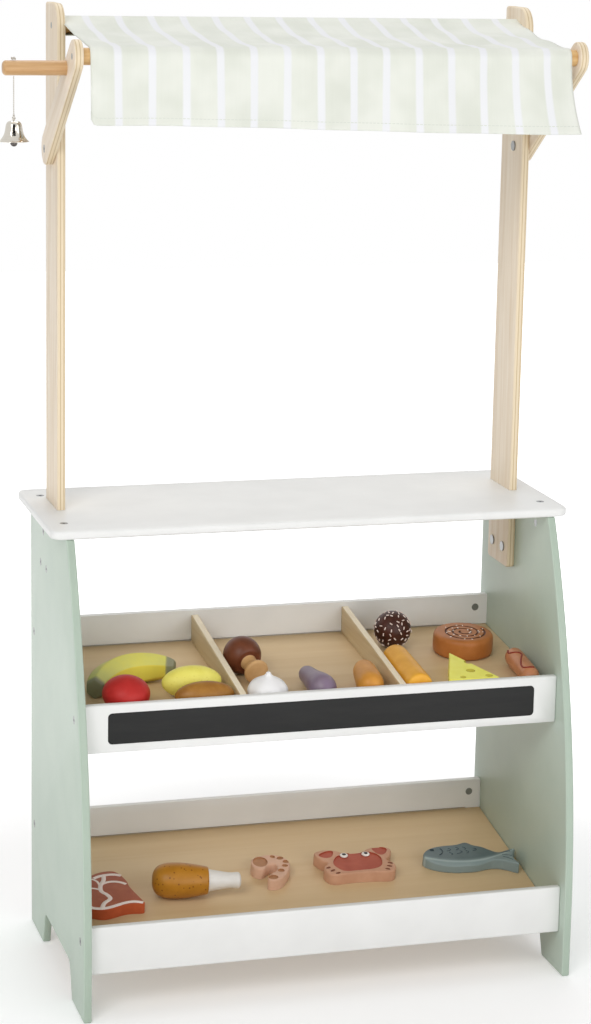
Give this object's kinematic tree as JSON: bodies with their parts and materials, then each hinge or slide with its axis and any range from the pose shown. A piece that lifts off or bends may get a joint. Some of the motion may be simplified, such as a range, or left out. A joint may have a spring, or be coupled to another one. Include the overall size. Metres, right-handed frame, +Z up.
{
  "type": "toy market stall",
  "caption": "Free-standing toy market stall with a countertop, sloping trays of wooden play food, a striped cloth awning on posts and a hanging bell.",
  "frame": {"origin": "on the floor, below the middle of the stall's box", "axes": "+Z up, the front with the chalkboard faces -Y, +X to the right seen from the front"},
  "size_m": [0.6924, 0.335, 1.1505],
  "materials": {
    "mint_painted_wood": "satin paint",
    "white_painted_wood": "satin paint",
    "pine": "clear matt lacquer",
    "birch_plywood": "clear matt lacquer",
    "beech": "clear matt lacquer",
    "oiled_beech": "oiled",
    "striped_cotton": "plain weave",
    "white_thread": "twisted",
    "bell_metal": "polished",
    "chalkboard_film": "matt",
    "zinc_steel": "zinc plated",
    "banana_yellow": "satin paint",
    "tomato_red": "satin paint",
    "lemon_yellow": "satin paint",
    "crust_brown": "satin paint",
    "mushroom_brown": "satin paint",
    "garlic_white": "satin paint",
    "aubergine_purple": "satin paint",
    "carrot_orange": "satin paint",
    "carrot_gold": "satin paint",
    "chocolate_brown": "satin paint",
    "caramel_brown": "satin paint",
    "cheese_yellow": "satin paint",
    "sausage_tan": "satin paint",
    "steak_red": "satin paint",
    "roast_brown": "satin paint",
    "shrimp_pink": "satin paint",
    "crab_red": "satin paint",
    "fish_blue": "satin paint"
  },
  "bodies": {
    "stall": {"side_panel_left": "mint_painted_wood", "side_panel_right": "mint_painted_wood", "countertop": "white_painted_wood", "middle_front_rail": "white_painted_wood", "middle_back_rail": "white_painted_wood", "lower_front_rail": "white_painted_wood", "lower_back_rail": "white_painted_wood", "post_left": "pine", "post_right": "pine", "middle_shelf_board": "birch_plywood", "lower_shelf_board": "birch_plywood", "divider_left": "birch_plywood", "divider_right": "birch_plywood", "awning_arm_left": "birch_plywood", "awning_arm_right": "birch_plywood", "awning_front_rod": "beech", "awning_rear_rod": "beech", "arm_dowels": "beech", "bell_rod": "oiled_beech", "awning_cloth": "striped_cotton", "bell_knot": "white_thread", "chalkboard": "chalkboard_film", "counter_bolts": "zinc_steel", "counter_barrel_nuts": "zinc_steel", "post_bolts": "zinc_steel", "post_nuts": "zinc_steel", "arm_bolts": "zinc_steel", "arm_nuts": "zinc_steel", "rail_bolts": "zinc_steel", "rail_barrel_nuts": "zinc_steel", "rod_screws": "zinc_steel", "divider_screws": "zinc_steel"},
    "bell_thread": {"bell_cord": "white_thread"},
    "bell": {"bell_shell": "bell_metal", "clapper_pin": "bell_metal"},
    "clapper": {"bell_clapper": "bell_metal"},
    "banana_piece": {"banana": "banana_yellow"},
    "tomato_piece": {"tomato": "tomato_red"},
    "lemon_piece": {"lemon": "lemon_yellow"},
    "bread_roll_piece": {"bread_roll": "crust_brown"},
    "mushroom_piece": {"mushroom": "mushroom_brown"},
    "garlic_piece": {"garlic": "garlic_white"},
    "aubergine_piece": {"aubergine": "aubergine_purple"},
    "carrot_small_piece": {"carrot_small": "carrot_orange"},
    "carrot_large_piece": {"carrot_large": "carrot_gold"},
    "chocolate_ball_piece": {"chocolate_ball": "chocolate_brown"},
    "cinnamon_bun_piece": {"cinnamon_bun": "caramel_brown"},
    "cheese_wedge_piece": {"cheese_wedge": "cheese_yellow"},
    "sausage_piece": {"sausage": "sausage_tan"},
    "steak_piece": {"steak": "steak_red"},
    "drumstick_piece": {"drumstick": "roast_brown"},
    "shrimp_piece": {"shrimp": "shrimp_pink"},
    "crab_piece": {"crab": "crab_red"},
    "fish_piece": {"fish": "fish_blue"}
  },
  "joints": [
    {"name": "bell_thread_swing", "type": "hinge", "parent": "stall", "child": "bell_thread", "pos_m": [-0.32925, -0.0595, 1.07615], "axis": [0, 1, 0], "range_deg": [-35, 60]},
    {"name": "bell_swing", "type": "hinge", "parent": "bell_thread", "child": "bell", "pos_m": [-0.32925, -0.0595, 1.02865], "axis": [1, 0, 0], "range_deg": [-45, 45]},
    {"name": "clapper_swing", "type": "hinge", "parent": "bell", "child": "clapper", "pos_m": [-0.32925, -0.0595, 1.02157], "axis": [0, 1, 0], "range_deg": [-25, 25]},
    {"name": "banana_lift", "type": "slide", "parent": "stall", "child": "banana_piece", "axis": [0, 0, 1], "range_m": [0, 0.1]},
    {"name": "tomato_lift", "type": "slide", "parent": "stall", "child": "tomato_piece", "axis": [0, 0, 1], "range_m": [0, 0.1]},
    {"name": "lemon_lift", "type": "slide", "parent": "stall", "child": "lemon_piece", "axis": [0, 0, 1], "range_m": [0, 0.1]},
    {"name": "bread_roll_lift", "type": "slide", "parent": "stall", "child": "bread_roll_piece", "axis": [0, 0, 1], "range_m": [0, 0.1]},
    {"name": "mushroom_lift", "type": "slide", "parent": "stall", "child": "mushroom_piece", "axis": [0, 0, 1], "range_m": [0, 0.1]},
    {"name": "garlic_lift", "type": "slide", "parent": "stall", "child": "garlic_piece", "axis": [0, 0, 1], "range_m": [0, 0.1]},
    {"name": "aubergine_lift", "type": "slide", "parent": "stall", "child": "aubergine_piece", "axis": [0, 0, 1], "range_m": [0, 0.1]},
    {"name": "carrot_small_lift", "type": "slide", "parent": "stall", "child": "carrot_small_piece", "axis": [0, 0, 1], "range_m": [0, 0.1]},
    {"name": "carrot_large_lift", "type": "slide", "parent": "stall", "child": "carrot_large_piece", "axis": [0, 0, 1], "range_m": [0, 0.1]},
    {"name": "chocolate_ball_lift", "type": "slide", "parent": "stall", "child": "chocolate_ball_piece", "axis": [0, 0, 1], "range_m": [0, 0.1]},
    {"name": "cinnamon_bun_lift", "type": "slide", "parent": "stall", "child": "cinnamon_bun_piece", "axis": [0, 0, 1], "range_m": [0, 0.1]},
    {"name": "cheese_wedge_lift", "type": "slide", "parent": "stall", "child": "cheese_wedge_piece", "axis": [0, 0, 1], "range_m": [0, 0.1]},
    {"name": "sausage_lift", "type": "slide", "parent": "stall", "child": "sausage_piece", "axis": [0, 0, 1], "range_m": [0, 0.1]},
    {"name": "steak_lift", "type": "slide", "parent": "stall", "child": "steak_piece", "axis": [0, 0, 1], "range_m": [0, 0.1]},
    {"name": "drumstick_lift", "type": "slide", "parent": "stall", "child": "drumstick_piece", "axis": [0, 0, 1], "range_m": [0, 0.1]},
    {"name": "shrimp_lift", "type": "slide", "parent": "stall", "child": "shrimp_piece", "axis": [0, 0, 1], "range_m": [0, 0.1]},
    {"name": "crab_lift", "type": "slide", "parent": "stall", "child": "crab_piece", "axis": [0, 0, 1], "range_m": [0, 0.1]},
    {"name": "fish_lift", "type": "slide", "parent": "stall", "child": "fish_piece", "axis": [0, 0, 1], "range_m": [0, 0.1]}
  ]
}
